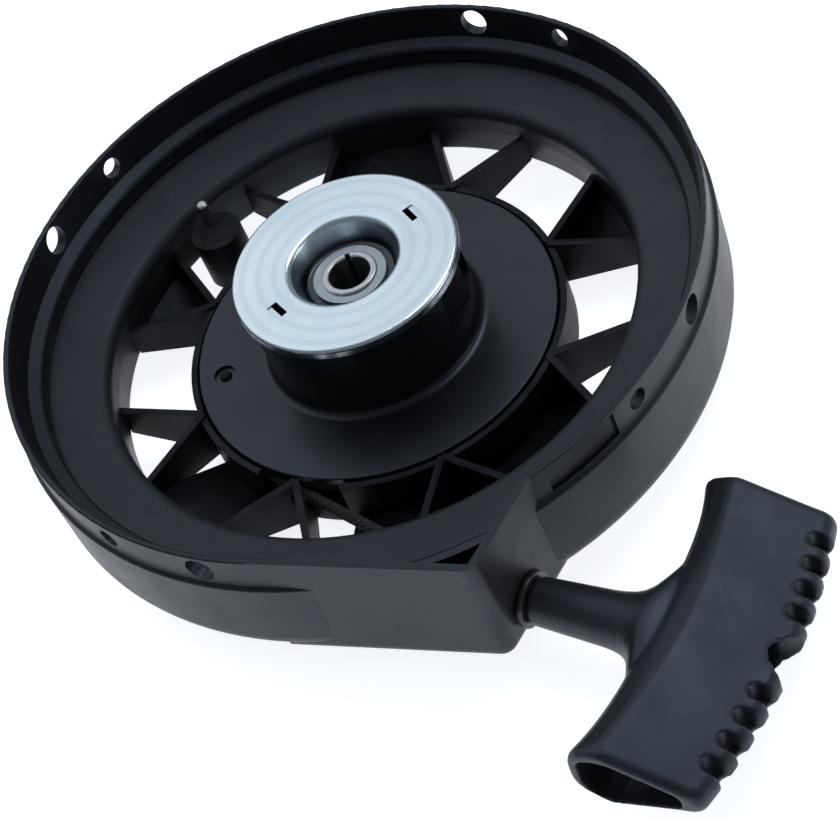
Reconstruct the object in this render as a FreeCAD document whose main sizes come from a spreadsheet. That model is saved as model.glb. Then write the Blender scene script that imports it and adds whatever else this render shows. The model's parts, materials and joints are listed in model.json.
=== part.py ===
import FreeCAD, Part
import math
import os

import Sketcher
from FreeCAD import Placement, Rotation, Vector

# Recoil starter for a small engine, lying on its back.
# Origin: the pulley's turning axis, at the resting face of the housing's centre cap.
# +Z points to the engine side. Millimetres.

UP = Vector(0, 0, 1)
TINY = 1e-4

doc = FreeCAD.newDocument("recoil_starter")

# ---------------------------------------------------------------- driving dimensions
DIMENSIONS = (
    # housing shell
    ("rim_radius", 111.0, "outer radius of the mounting rim"),
    ("rim_inner_radius", 109.2, "inner radius of the rim at its mouth"),
    ("rim_top", 52.0, "height of the rim's mouth"),
    ("skirt_radius", 112.4, "outer radius just below the outside step"),
    ("skirt_foot_radius", 112.0, "outer radius at the foot of the skirt"),
    ("step_top", 41.2, "upper edge of the outside step"),
    ("step_foot", 40.0, "lower edge of the outside step"),
    ("back_level", 8.0, "back face at the outer edge"),
    ("skirt_wall", 2.4, "wall of the skirt"),
    ("back_round", 7.5, "outside rounding of skirt into back"),
    ("ledge_root_radius", 107.4, "where the inside ledge meets the rim"),
    ("ledge_root_level", 40.8, "height of that corner"),
    ("ledge_radius", 103.2, "inner radius of the ledge"),
    ("ledge_level", 39.2, "height of the ledge's inner edge"),
    ("ledge_foot", 34.2, "bottom of the ledge's lip"),
    ("trough_inner_radius", 85.0, "inner face of the trough's inner wall"),
    ("trough_wall", 2.3, "wall of the trough"),
    ("trough_top", 21.2, "top of the trough's inner wall"),
    ("trough_foot", 10.8, "bottom of the trough's inner wall"),
    # inner ring
    ("ring_outer_radius", 104.4, "outer radius of the textured ring"),
    ("ring_outer_level", 33.4, "top of the ring at its outer edge"),
    ("ring_inner_level", 29.2, "top of the ring at its lip"),
    ("ring_thickness", 2.2, "plate thickness of the ring"),
    ("ring_lip_round", 4.0, "rounding of the ring's lip"),
    # grille and well
    ("well_radius", 61.3, "outer radius of the pulley well"),
    ("well_inner_radius", 59.3, "inner radius of the pulley well"),
    ("well_top", 19.0, "top of the well's wall"),
    ("cap_thickness", 2.5, "floor of the well"),
    ("cap_round", 4.0, "rounding of the well's outer bottom edge"),
    ("spoke_top", 19.8, "top edge of the spokes"),
    ("spoke_end_top", 20.6, "top edge of the spokes at the trough wall"),
    ("spoke_inner_foot", 1.6, "bottom edge of the spokes at the well"),
    ("spoke_thickness", 2.3, "thickness of a spoke"),
    ("spoke_nodes", 8.0, "places where two spokes meet"),
    # centre
    ("post_radius", 12.25, "centre post that the pulley turns on"),
    ("post_top", 38.0, "top of the centre post"),
    ("post_foot_radius", 17.0, "thrust shoulder at the post's foot"),
    ("post_foot_top", 5.5, "top of the thrust shoulder"),
    ("pin_radius", 8.8, "outer radius of the split centring pin"),
    ("pin_bore_radius", 6.5, "inner radius of the split centring pin"),
    ("pin_foot", 13.0, "lower end of the pin"),
    ("pin_top", 46.3, "upper end of the pin"),
    ("pin_slit", 1.6, "width of the pin's slit"),
    ("washer_radius", 11.6, "outer radius of the upper washer"),
    ("upper_washer_level", 44.4, "underside of the upper washer"),
    ("washer_thickness", 1.1, "thickness of both washers"),
    ("lower_washer_radius", 13.0, "outer radius of the lower washer"),
    # pulley
    ("pulley_bore_radius", 12.3, "bore of the pulley"),
    ("sleeve_radius", 16.0, "outer radius of the bearing sleeve"),
    ("sleeve_top", 37.6, "top of the bearing sleeve"),
    ("sleeve_foot", 5.8, "bottom of the bearing sleeve"),
    ("hub_radius", 34.0, "outer radius of the hub"),
    ("hub_wall_radius", 31.5, "inner radius of the hub's wall"),
    ("hub_top", 48.9, "top of the hub"),
    ("dog_floor", 30.0, "floor that the dogs lie on"),
    ("dog_web_foot", 27.5, "underside of that floor"),
    ("flange_radius", 58.5, "outer radius of both pulley flanges"),
    ("flange_top", 19.8, "top of the upper flange"),
    ("groove_top", 17.4, "upper wall of the rope groove"),
    ("groove_foot", 7.4, "lower wall of the rope groove"),
    ("core_radius", 45.0, "bottom of the rope groove"),
    ("core_inner_radius", 42.0, "radius of the spring chamber"),
    ("pulley_foot", 5.0, "underside of the pulley"),
    ("hub_foot_round", 3.0, "fillet between hub and flange"),
    # dogs
    ("dog_pivot_radius", 24.0, "distance of a dog's pivot from the axis"),
    ("dog_pivot_angle", 18.0, "direction of the first dog's pivot"),
    ("dog_post_radius", 2.5, "pivot post on the pulley"),
    ("dog_bore_radius", 2.56, "bore of a dog"),
    ("dog_boss_radius", 4.6, "boss of a dog around its bore"),
    ("dog_height", 18.0, "height of a dog"),
    ("dog_boss_height", 12.6, "height of a dog at its pivot"),
    ("dog_reach", 23.6, "from a dog's pivot to its tip"),
    ("dog_heading", 111.0, "direction of the first dog from pivot to tip"),
    ("dog_tip_width", 4.2, "width of a dog at its tip"),
    ("dog_root_width", 5.5, "width of a dog beside its boss"),
    # retainer
    ("retainer_radius", 36.0, "outer radius of the retainer"),
    ("retainer_sheet", 1.5, "sheet thickness of the retainer"),
    ("retainer_top", 52.0, "flat top of the retainer"),
    ("retainer_skirt", 3.2, "height of the retainer's turned-down edge"),
    ("dish_radius", 17.6, "radius of the dish at the top"),
    ("dish_floor_radius", 14.6, "radius of the dish's floor"),
    ("dish_floor_top", 44.1, "top of the dish's floor"),
    ("retainer_bore_radius", 9.3, "centre hole of the retainer"),
    ("lance_radius", 25.6, "distance of the lanced tabs from the axis"),
    ("lance_length", 6.4, "length of a lanced slot"),
    ("lance_width", 3.6, "width of a lanced slot"),
    ("tab_drop", 6.5, "how far a lanced tab reaches down"),
    # rope and handle
    ("rope_radius", 1.8, "radius of the starter rope"),
    ("winding_radius", 55.0, "outer radius of the wound rope"),
    ("exit_level", 19.0, "height of the rope where it leaves the nose"),
    ("exit_heading", 42.4, "direction of the rope outside the nose"),
    ("grip_length", 96.0, "length of the handle's bar"),
    ("grip_tilt", -3.0, "turn of the handle about the rope"),
    ("stem_radius", 7.0, "handle's stem at its mouth"),
    ("stem_root_radius", 8.4, "handle's stem at the bar"),
    ("stem_start", 2.6, "handle's mouth, from the nose wall"),
    ("bar_start", 36.0, "bar's near face, from the nose wall"),
    ("bar_depth", 41.0, "bar's depth along the rope"),
    # nose
    ("nose_tangent_angle", -34.8, "where the nose's long wall leaves the rim"),
    ("nose_length", 90.0, "length of the nose's long wall"),
    ("mouth_heading", 38.4, "direction that the nose's mouth wall faces"),
    ("mouth_distance", 96.6, "distance of the mouth wall from the axis"),
    ("nose_round", 5.0, "rounding of the nose's corner"),
    # holes
    ("large_hole_radius", 4.5, "large radial mounting hole"),
    ("small_hole_radius", 3.3, "small radial mounting hole"),
    ("hole_level", 46.4, "height of the radial holes"),
)

dims = doc.addObject("Spreadsheet::Sheet", "dims")
for row, (alias, size, note) in enumerate(DIMENSIONS, start=1):
    dims.set(f"A{row}", note)
    dims.set(f"B{row}", str(size))
    dims.setAlias(f"B{row}", alias)
doc.recompute()


def value(expression):
    """The number that a sum such as "rim_top - step_top + 2" comes to."""
    total = 0.0
    sign = 1.0
    for word in expression.split():
        if word == "+":
            sign = 1.0
        elif word == "-":
            sign = -1.0
        elif word[0].isdigit():
            total += sign * float(word)
        else:
            total += sign * float(dims.get(word))
    return total


def in_sheet(expression):
    """The same sum as an expression on the sheet's cells."""
    words = []
    for word in expression.split():
        named = word not in ("+", "-") and not word[0].isdigit()
        words.append(f"dims.{word}" if named else word)
    return " ".join(words)


def bind(item, **sizes):
    """Set properties of an object from sums of the sheet's cells."""
    for prop, expression in sizes.items():
        item.setExpression(prop, in_sheet(expression))
    return item


# ---------------------------------------------------------------- helpers
def origin_plane(body, role):
    return next(f for f in body.Origin.OriginFeatures if f.Role == role)


def outline_sketch(body, name, plane, outline):
    """A closed polygon whose corners are tied to the sheet: (across, up) sums."""
    sketch = body.newObject("Sketcher::SketchObject", name)
    sketch.AttachmentSupport = [(origin_plane(body, plane), "")]
    sketch.MapMode = "FlatFace"
    corners = [Vector(value(x), value(y), 0) for x, y in outline]
    count = len(corners)
    for i, corner in enumerate(corners):
        sketch.addGeometry(Part.LineSegment(corner, corners[(i + 1) % count]), False)
    for i in range(count):
        sketch.addConstraint(Sketcher.Constraint("Coincident", i, 2, (i + 1) % count, 1))
    for i, (x, y) in enumerate(outline):
        for kind, axis, text in (("DistanceX", -2, x), ("DistanceY", -1, y)):
            size = value(text)
            if abs(size) < TINY:
                sketch.addConstraint(Sketcher.Constraint("PointOnObject", i, 1, axis))
                continue
            index = sketch.addConstraint(Sketcher.Constraint(kind, -1, 1, i, 1, size))
            name_of_size = f"{'across' if kind == 'DistanceX' else 'up'}_{i}"
            sketch.renameConstraint(index, name_of_size)
            sketch.setExpression(f"Constraints.{name_of_size}", in_sheet(text))
    return sketch


def circle_edges(shape, rings):
    """Names of the circular edges at the given (radius, height) pairs."""
    names = []
    for i, edge in enumerate(shape.Edges, start=1):
        if not isinstance(edge.Curve, Part.Circle):
            continue
        for radius, height in rings:
            at_height = abs(edge.Curve.Center.z - height) < 0.01
            if at_height and abs(edge.Curve.Radius - radius) < 0.01:
                names.append(f"Edge{i}")
    return names


def turned(name, outline, rounds=()):
    """A PartDesign body turned about Z from an outline in the XZ plane.

    rounds: (radius of the fillet, [(ring radius, ring height), ...]), all sums.
    """
    body = doc.addObject("PartDesign::Body", name)
    sketch = outline_sketch(body, f"{name}_outline", "XZ_Plane", outline)
    turn = body.newObject("PartDesign::Revolution", f"{name}_turn")
    turn.Profile = (sketch, [""])
    turn.ReferenceAxis = (sketch, ["V_Axis"])
    turn.Angle = 360
    doc.recompute()
    base = turn
    for i, (size, rings) in enumerate(rounds):
        wanted = [(value(r), value(z)) for r, z in rings]
        names = circle_edges(base.Shape, wanted)
        fillet = body.newObject("PartDesign::Fillet", f"{name}_round_{i}")
        fillet.Base = (base, names)
        bind(fillet, Radius=size)
        doc.recompute()
        base = fillet
    body.Tip = base
    doc.recompute()
    return body


def cylinder(name, radius, height, at=None, placement=None):
    item = doc.addObject("Part::Cylinder", name)
    bind(item, Radius=radius, Height=height)
    item.Placement = placement or Placement(at or Vector(), Rotation())
    return item


def box(name, length, width, height, placement=None):
    item = doc.addObject("Part::Box", name)
    bind(item, Length=length, Width=width, Height=height)
    item.Placement = placement or Placement()
    return item


def cut(name, base, tool):
    item = doc.addObject("Part::Cut", name)
    item.Base = base
    item.Tool = tool
    return item


def fuse(name, shapes):
    item = doc.addObject("Part::MultiFuse", name)
    item.Shapes = shapes
    return item


def common(name, shapes):
    item = doc.addObject("Part::MultiCommon", name)
    item.Shapes = shapes
    return item


def solid(name, shape, placement=None):
    """A Part::Feature for a piece that primitives can't make, such as a coil."""
    item = doc.addObject("Part::Feature", name)
    item.Shape = shape
    if placement:
        item.Placement = placement
    return item


def heading(angle, radius=1.0, level=0.0):
    a = math.radians(angle)
    return Vector(radius * math.cos(a), radius * math.sin(a), level)


def turned_about_z(angle, at=None):
    return Placement(at or Vector(), Rotation(UP, angle))


subparts = []


def keep(item, label):
    """Mark an object as one of the starter's pieces, under its node name."""
    item.Label = label
    subparts.append(item)
    return item


# ---------------------------------------------------------------- nose prisms
LONG_WALL_DEPTH = 46
MOUTH_WALL_SPAN = 260


def nose_prism(name, inset, foot, top):
    """The part of the nose outside the rim: inside its long wall and mouth wall.

    inset moves both walls inwards; foot and top are sums.
    """
    angle = value("nose_tangent_angle")
    along = angle + 90
    reach = value("rim_radius") + 0.05 - inset
    corner = heading(angle, reach, value(foot))
    height = f"{top} - {foot}"
    long_wall = box(f"{name}_long", "nose_length", str(LONG_WALL_DEPTH), height)
    # length runs along the wall, width runs inwards from it
    long_wall.Placement = Placement(corner, Rotation(heading(along), heading(along + 90), UP, "XZY"))
    mouth = value("mouth_heading")
    mouth_corner = heading(mouth, value("mouth_distance") - inset, value(foot))
    mouth_corner = mouth_corner - heading(mouth + 90, MOUTH_WALL_SPAN / 2)
    mouth_wall = box(f"{name}_mouth", str(MOUTH_WALL_SPAN), str(MOUTH_WALL_SPAN), height)
    mouth_wall.Placement = Placement(
        mouth_corner, Rotation(heading(mouth + 90), heading(mouth + 180), UP, "XZY")
    )
    return common(name, [long_wall, mouth_wall])


def vertical_edges(shape, where):
    """Names of the straight upright edges that pass near a point."""
    names = []
    for i, edge in enumerate(shape.Edges, start=1):
        ends = [v.Point for v in edge.Vertexes]
        if len(ends) != 2 or not isinstance(edge.Curve, Part.Line):
            continue
        upright = (ends[0] - ends[1]).cross(UP).Length < 0.01
        middle = (ends[0] + ends[1]) * 0.5
        if upright and math.hypot(middle.x - where.x, middle.y - where.y) < 1.0:
            names.append(i)
    return names


def foot_edges(shape):
    """Numbers of the nose block's lowest edges along its two outer walls."""
    numbers = []
    for i, edge in enumerate(shape.Edges, start=1):
        ends = [v.Point for v in edge.Vertexes]
        middle = (ends[0] + ends[1]) * 0.5
        if abs(ends[0].z - value("back_level")) > 0.01 or abs(ends[1].z - ends[0].z) > 0.01:
            continue
        long_wall = middle.dot(heading(value("nose_tangent_angle"))) - value("rim_radius")
        mouth_wall = middle.dot(heading(value("mouth_heading"))) - value("mouth_distance")
        if min(abs(long_wall), abs(mouth_wall)) < 0.2:
            numbers.append(i)
    return numbers


def rounded(name, base, picks):
    """A Part::Fillet of the given (edge number, radius) picks."""
    item = doc.addObject("Part::Fillet", name)
    item.Base = base
    item.Edges = [(number, size, size) for number, size in picks]
    return item


def nose_corner(inset):
    """Where the long wall and the mouth wall meet."""
    a = math.radians(value("nose_tangent_angle"))
    b = math.radians(value("mouth_heading"))
    first = value("rim_radius") + 0.05 - inset
    second = value("mouth_distance") - inset
    spread = math.sin(b - a)
    x = (first * math.sin(b) - second * math.sin(a)) / spread
    y = (second * math.cos(a) - first * math.cos(b)) / spread
    return Vector(x, y, 0)


# ---------------------------------------------------------------- rope route
def rope_points():
    """Tangent point on the winding, bend inside the nose, mouth, and knot."""
    out = heading(value("exit_heading"))
    middle = heading(value("mouth_heading"), value("mouth_distance"))
    exit_at = middle + (nose_corner(0) - middle) * EXIT_SHARE
    exit_at.z = value("exit_level")
    bend = exit_at - out * BEND_DEPTH
    radius = value("winding_radius + rope_radius") + LEAD_GAP
    flat = Vector(bend.x, bend.y, 0)
    toward = math.degrees(math.atan2(bend.y, bend.x))
    swing = math.degrees(math.acos(radius / flat.Length))
    level = (value("groove_top") + value("groove_foot")) / 2
    start = heading(toward - swing, radius, level)
    return start, bend, exit_at, out


EXIT_SHARE = 0.834
LEAD_GAP = 0.3
BEND_DEPTH = 14.0
ROPE_CLEARANCE = 2.6


# ---------------------------------------------------------------- housing shell
def make_shell():
    outline = (
        ("rim_inner_radius", "rim_top"),
        ("rim_radius", "rim_top"),
        ("rim_radius", "step_top"),
        ("skirt_radius", "step_foot"),
        ("skirt_foot_radius", "back_level"),
        ("trough_inner_radius", "trough_foot"),
        ("trough_inner_radius", "trough_top"),
        ("trough_inner_radius + trough_wall", "trough_top"),
        ("trough_inner_radius + trough_wall", "trough_foot + trough_wall"),
        ("skirt_foot_radius - skirt_wall", "back_level + skirt_wall"),
        ("skirt_radius - skirt_wall", "ledge_foot + 3.6"),
        ("ledge_radius + 2", "ledge_foot + 2.4"),
        ("ledge_radius + 1.6", "ledge_foot"),
        ("ledge_radius - 0.2", "ledge_foot"),
        ("ledge_radius", "ledge_level"),
        ("ledge_root_radius", "ledge_root_level"),
    )
    rounds = (
        ("back_round", [("skirt_foot_radius", "back_level")]),
        ("back_round - skirt_wall",
         [("skirt_foot_radius - skirt_wall", "back_level + skirt_wall")]),
        ("1.5", [("ledge_radius", "ledge_level")]),
        ("1.5", [("trough_inner_radius", "trough_foot")]),
        ("0.6", [("rim_radius", "step_top"), ("skirt_radius", "step_foot")]),
        ("0.5", [("rim_radius", "rim_top"), ("rim_inner_radius", "rim_top")]),
    )
    ring = turned("shell_ring", outline, rounds)

    # nose: a boxy bulge whose walls stand outside the rim's circle
    bulge = nose_prism("nose_block", 0.0, "back_level", "rim_top")
    doc.recompute()
    picks = [(n, value("nose_round")) for n in vertical_edges(bulge.Shape, nose_corner(0))]
    picks += [(n, value("nose_round") - 0.4) for n in foot_edges(bulge.Shape)]
    bulge_round = rounded("nose_block_round", bulge, picks)
    rim_core = cylinder("rim_core", "rim_radius - 1", "rim_top + 2", at=Vector(0, 0, -1))
    bulge_outside = cut("nose_outside", bulge_round, rim_core)
    body = fuse("shell_with_nose", [ring, bulge_outside])

    # the nose is hollow, and its mouth is open to the engine side
    wall = value("skirt_wall")
    cavity = nose_prism("nose_cavity", wall, "back_level + skirt_wall", "rim_top + 5")
    trough_wall = cylinder("trough_drum", "skirt_radius", "step_foot", at=Vector(0, 0, 0))
    cavity_outside = cut("nose_cavity_outside", cavity, trough_wall)
    ledge_gap = nose_prism("ledge_gap", wall, "ledge_foot - 1", "rim_top + 5")
    ledge_core = cylinder("ledge_core", "skirt_radius - skirt_wall", "rim_top + 5")
    ledge_cut = common("ledge_cut", [ledge_gap, ledge_core])

    # recessed panel on the rim beside the mouth
    panel = recessed_panel()

    holes = [radial_hole(f"hole_{i}", angle, radius)
             for i, (angle, radius) in enumerate(rim_holes())]
    eyelet_hole = eyelet_tool("eyelet_hole")
    tools = [cavity_outside, ledge_cut, panel, eyelet_hole, rope_slot("shell_slot")] + holes
    shell = cut("housing_shell_solid", body, fuse("shell_tools", tools))
    doc.recompute()
    return keep(shell, "housing_shell")


PANEL_START = 11.5
PANEL_END = 24.5
PANEL_DEPTH = 1.0


def recessed_panel():
    """A shallow sector pocket in the outside of the rim band."""
    drum = cylinder("panel_drum", "rim_radius + 3", "rim_top - step_top - 1.6")
    drum.Placement = turned_about_z(PANEL_START, Vector(0, 0, value("step_top + 0.4")))
    drum.Angle = PANEL_END - PANEL_START
    core = cylinder("panel_core", "rim_radius - 1", "rim_top + 2")
    return cut("panel_cut", drum, core)


QUARTERS = 4
LARGE_HOLE_START = 47.0
SMALL_HOLE_START = 29.5


def rim_holes():
    """(direction, radius) of the eight radial holes: four pairs, a quarter turn apart."""
    holes = []
    for quarter in range(QUARTERS):
        turn = quarter * 360 / QUARTERS
        holes.append((LARGE_HOLE_START + turn, "large_hole_radius"))
        holes.append((SMALL_HOLE_START + turn, "small_hole_radius"))
    return holes


HOLE_TOOL_START = 100.0


def radial_hole(name, angle, radius):
    tool = cylinder(name, radius, "20")
    start = heading(angle, HOLE_TOOL_START, value("hole_level"))
    tool.Placement = Placement(start, Rotation(UP, heading(angle)))
    return tool


EYELET_BARREL_RADIUS = 5.6
EYELET_FLANGE_RADIUS = 8.4


def eyelet_tool(name):
    """The hole in the mouth wall that the rope eyelet is pressed into."""
    start, bend, exit_at, out = rope_points()
    tool = cylinder(name, str(EYELET_BARREL_RADIUS), "24")
    tool.Placement = Placement(exit_at - out * 12, Rotation(UP, out))
    return tool


def rope_slot(name):
    """A clear passage around the rope from the winding to the nose."""
    start, bend, exit_at, out = rope_points()
    run = bend - start
    # the tool starts outside the pulley, past the winding
    first = start + run * 0.14
    reach = run.Length * 0.93
    tool = doc.addObject("Part::Cylinder", name)
    tool.Radius = value("rope_radius") + ROPE_CLEARANCE
    tool.Height = reach
    tool.Placement = Placement(first, Rotation(UP, run))
    return tool


# ---------------------------------------------------------------- inner ring
def make_inner_ring():
    outline = (
        ("trough_inner_radius", "trough_top + 0.1"),
        ("trough_inner_radius", "ring_inner_level"),
        ("ring_outer_radius", "ring_outer_level"),
        ("ring_outer_radius", "ring_outer_level - ring_thickness"),
        ("trough_inner_radius + trough_wall", "ring_inner_level - ring_thickness"),
        ("trough_inner_radius + trough_wall", "trough_top + 0.1"),
    )
    rounds = (
        ("ring_lip_round", [("trough_inner_radius", "ring_inner_level")]),
        ("0.5", [("ring_outer_radius", "ring_outer_level")]),
    )
    ring = turned("ring_body", outline, rounds)
    return keep(ring, "inner_ring")


# ---------------------------------------------------------------- spokes
SPOKE_OVERRUN = 6.0
BOSS_DIRECTION = -154.5
BOSS_DISTANCE = 74.0
BOSS_RADIUS = 8.5
BOSS_TOP = 26.0
BOSS_FOOT = 7.0


def make_spokes():
    nodes = int(value("spoke_nodes"))
    inner = value("well_radius") - 1.4
    outer = value("trough_inner_radius")
    half_step = 360 / nodes / 4
    ribs = []
    for node in range(nodes):
        angle = node * 360 / nodes
        root = heading(angle, inner)
        for side in (-1, 1):
            tip = heading(angle + side * half_step, outer)
            ribs.append(spoke(f"spoke_{node}_{'a' if side < 0 else 'b'}", root, tip))
    ribs += grille_floors()
    ribs.append(cylinder("pin_boss", str(BOSS_RADIUS), str(BOSS_TOP - BOSS_FOOT),
                         at=heading(BOSS_DIRECTION, BOSS_DISTANCE, BOSS_FOOT)))
    # between the well and the trough wall, and over the well's top edge
    reach = cylinder("spoke_reach", "trough_inner_radius - 0.02", "60", at=Vector(0, 0, -5))
    well = cylinder("spoke_well", "well_radius + 0.02", "well_top + 5", at=Vector(0, 0, -5))
    over = cylinder("spoke_over", "flange_radius + 0.4", "60", at=Vector(0, 0, 0))
    band = cut("spoke_band", reach, fuse("spoke_core", [well, over]))
    web = common("spoke_web", [fuse("spoke_ribs", ribs), band])
    pin_hole = cylinder("boss_pin_hole", str(BOSS_PIN_RADIUS), "30",
                        at=boss_pin_at(BOSS_TOP - BOSS_PIN_DEPTH))
    tools = fuse("spoke_tools", [rope_slot("spoke_slot"), pin_hole])
    return keep(cut("housing_spokes_solid", web, tools), "housing_spokes")


def spoke(name, root, tip):
    """A deep rib between the well and the trough wall, its foot rising outwards."""
    run = tip - root
    rib = doc.addObject("Part::Wedge", name)
    # Y runs along the rib, X up, Z across
    length = run.Length
    rib.Ymin = 0
    rib.Ymax = length + SPOKE_OVERRUN
    rise = (value("spoke_end_top") - value("spoke_top")) * rib.Ymax.Value / length
    lift = (value("trough_foot") - value("spoke_inner_foot")) * rib.Ymax.Value / length
    rib.Xmin = value("spoke_inner_foot")
    rib.X2min = value("spoke_inner_foot") + lift
    bind(rib, Xmax="spoke_top", Zmax="spoke_thickness")
    bind(rib, Z2max="spoke_thickness")
    rib.X2max = value("spoke_top") + rise
    rib.Zmin = 0
    rib.Z2min = 0
    along = Vector(run.x, run.y, 0).normalize()
    across = UP.cross(along)
    half = across * (-value("spoke_thickness") / 2)
    rib.Placement = Placement(root + half, Rotation(UP, along, across, "XYZ"))
    return rib


FLOOR_THICKNESS = 2.2
FLOOR_RISE = 12.5
# bays are counted by the node they start from, anticlockwise seen from the engine
CLOSED_BAYS = (0, 3)
CLOSED_POCKETS = (0, 2, 5)
ROPE_BAY = 7
ROPE_BAY_EDGE = (-30.0, -27.0)
SLIVER_BAY = 6
SLIVER_BAY_EDGE = (-82.0, -80.0)


def rib_line(node, side):
    """Where a spoke's middle line starts, and a point on it past the trough wall."""
    step = 360 / value("spoke_nodes")
    root = heading(node * step, value("well_radius") - 1.4)
    tip = heading(node * step + side * step / 4, value("trough_inner_radius"))
    return root, tip + (tip - root) * 0.12


def free_line(edge):
    """The open side of a floor that doesn't reach a spoke."""
    inner, outer = edge
    return heading(inner, value("well_radius") - 1.4), heading(outer, 88)


def grille_floors():
    """Some bays have a floor instead of an opening, and two have one over part of the bay."""
    floors = []
    for node in CLOSED_BAYS:
        floors.append(bay_floor(f"bay_{node}", rib_line(node, 1), rib_line(node + 1, -1)))
    for node in CLOSED_POCKETS:
        floors.append(bay_floor(f"pocket_{node}", rib_line(node, -1), rib_line(node, 1)))
    rope_side = free_line(ROPE_BAY_EDGE)
    floors.append(bay_floor(f"bay_{ROPE_BAY}", rope_side, rib_line(ROPE_BAY + 1, -1)))
    sliver_side = free_line(SLIVER_BAY_EDGE)
    floors.append(bay_floor(f"bay_{SLIVER_BAY}", sliver_side, rib_line(SLIVER_BAY + 1, -1)))
    return floors


def bay_floor(name, first, second):
    """A floor between two lines, on the cone that the spokes' feet follow."""
    plan = doc.addObject("Part::Polygon", f"{name}_plan")
    corners = [first[0], first[1], second[1]]
    if not second[0].isEqual(first[0], 0.01):
        corners.append(second[0])
    plan.Nodes = corners
    plan.Close = True
    block = doc.addObject("Part::Extrusion", f"{name}_block")
    block.Base = plan
    block.DirMode = "Custom"
    block.Dir = UP
    block.LengthFwd = 30
    block.Solid = True
    slope = (value("trough_inner_radius") - value("well_radius")) / (
        value("trough_foot") - value("spoke_inner_foot"))
    underside = doc.addObject("Part::Cone", f"{name}_underside")
    underside.Radius1 = value("well_radius") - 2
    underside.Radius2 = value("well_radius") - 2 + slope * FLOOR_RISE
    underside.Height = FLOOR_RISE
    underside.Placement = Placement(Vector(0, 0, value("spoke_inner_foot")), Rotation())
    topside = doc.addObject("Part::Cone", f"{name}_topside")
    topside.Radius1 = underside.Radius1
    topside.Radius2 = underside.Radius2
    topside.Height = FLOOR_RISE
    top_level = value("spoke_inner_foot") + FLOOR_THICKNESS
    topside.Placement = Placement(Vector(0, 0, top_level), Rotation())
    plate = cut(f"{name}_cone", underside, topside)
    return common(f"{name}_plate", [block, plate])


# ---------------------------------------------------------------- pulley well
def make_well():
    outline = (
        ("0", "0"),
        ("well_radius", "0"),
        ("well_radius", "well_top"),
        ("well_inner_radius", "well_top"),
        ("well_inner_radius", "cap_thickness"),
        ("post_foot_radius", "cap_thickness"),
        ("post_foot_radius", "post_foot_top"),
        ("post_radius", "post_foot_top"),
        ("post_radius", "post_top"),
        ("pin_radius - 0.05", "post_top"),
        ("pin_radius - 0.05", "pin_foot - 1"),
        ("0", "pin_foot - 1"),
    )
    rounds = (
        ("cap_round", [("well_radius", "0")]),
        ("1.5", [("well_inner_radius", "cap_thickness")]),
        ("0.8", [("post_radius", "post_top")]),
    )
    drum = turned("well_body", outline, rounds)
    # the rope leaves through a window in the well's wall
    slotted = cut("housing_well_solid", drum, well_window())
    return keep(slotted, "housing_well")


WELL_WINDOW_START = -58.0
WELL_WINDOW_END = -31.0


def well_window():
    drum = cylinder("window_drum", "well_radius + 3", "groove_top - groove_foot + 1.6")
    drum.Placement = turned_about_z(WELL_WINDOW_START, Vector(0, 0, value("groove_foot")))
    drum.Angle = WELL_WINDOW_END - WELL_WINDOW_START
    core = cylinder("window_core", "well_inner_radius - 2", "60")
    return cut("well_window", drum, core)


# ---------------------------------------------------------------- centre pieces
def washer(label, radius, level, bore="pin_radius + 0.3"):
    disc = cylinder(f"{label}_disc", radius, "washer_thickness", at=Vector(0, 0, value(level)))
    hole = cylinder(f"{label}_hole", bore, "10", at=Vector(0, 0, value(level) - 2))
    return keep(cut(f"{label}_solid", disc, hole), label)


def make_centre():
    tube = cylinder("pin_tube", "pin_radius", "pin_top - pin_foot",
                    at=Vector(0, 0, value("pin_foot")))
    bore = cylinder("pin_bore", "pin_bore_radius", "60")
    slit = box("pin_slit_tool", "20", "pin_slit", "60")
    slit.Placement = Placement(
        Rotation(UP, PIN_SLIT_DIRECTION).multVec(Vector(0, -value("pin_slit") / 2, 0)),
        Rotation(UP, PIN_SLIT_DIRECTION),
    )
    rolled = cut("center_pin_blank", tube, fuse("pin_tools", [bore, slit]))
    doc.recompute()
    top = value("pin_top")
    picks = []
    for i, edge in enumerate(rolled.Shape.Edges, start=1):
        if isinstance(edge.Curve, Part.Circle) and abs(edge.Curve.Center.z - top) < 0.01:
            picks.append((i, PIN_EDGE_ROUND))
    keep(rounded("center_pin_solid", rolled, picks), "center_pin")

    washer("upper_washer", "washer_radius", "upper_washer_level", "pin_radius")
    washer("lower_washer", "lower_washer_radius", "post_top")

    coil = wire_coil(BRAKE_RADIUS, BRAKE_WIRE, BRAKE_PITCH, BRAKE_TURNS)
    level = value("post_top") + value("washer_thickness") + BRAKE_WIRE + 0.1
    keep(solid("brake_spring_solid", coil, Placement(Vector(0, 0, level), Rotation())),
         "brake_spring")


PIN_SLIT_DIRECTION = 165.0
PIN_EDGE_ROUND = 0.7
BRAKE_RADIUS = 11.0
BRAKE_WIRE = 0.6
BRAKE_PITCH = 1.3
BRAKE_TURNS = 1.5


WIRE_SIDES = 8


def wire_coil(radius, wire, pitch, turns):
    """An eight-sided wire wound as a helix about Z, starting at +X."""
    path = Part.Wire(Part.makeHelix(pitch, pitch * turns, radius))
    corners = []
    for side in range(WIRE_SIDES + 1):
        a = 2 * math.pi * (side + 0.5) / WIRE_SIDES
        corners.append(Vector(radius + wire * math.cos(a), 0, wire * math.sin(a)))
    section = Part.makePolygon(corners)
    return path.makePipeShell([section], True, True)


BOSS_PIN_RADIUS = 2.0
BOSS_PIN_DEPTH = 12.0
BOSS_PIN_DISTANCE = 79.3
BOSS_PIN_DIRECTION = -156.0
BOSS_PIN_TOP = 34.5


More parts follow.
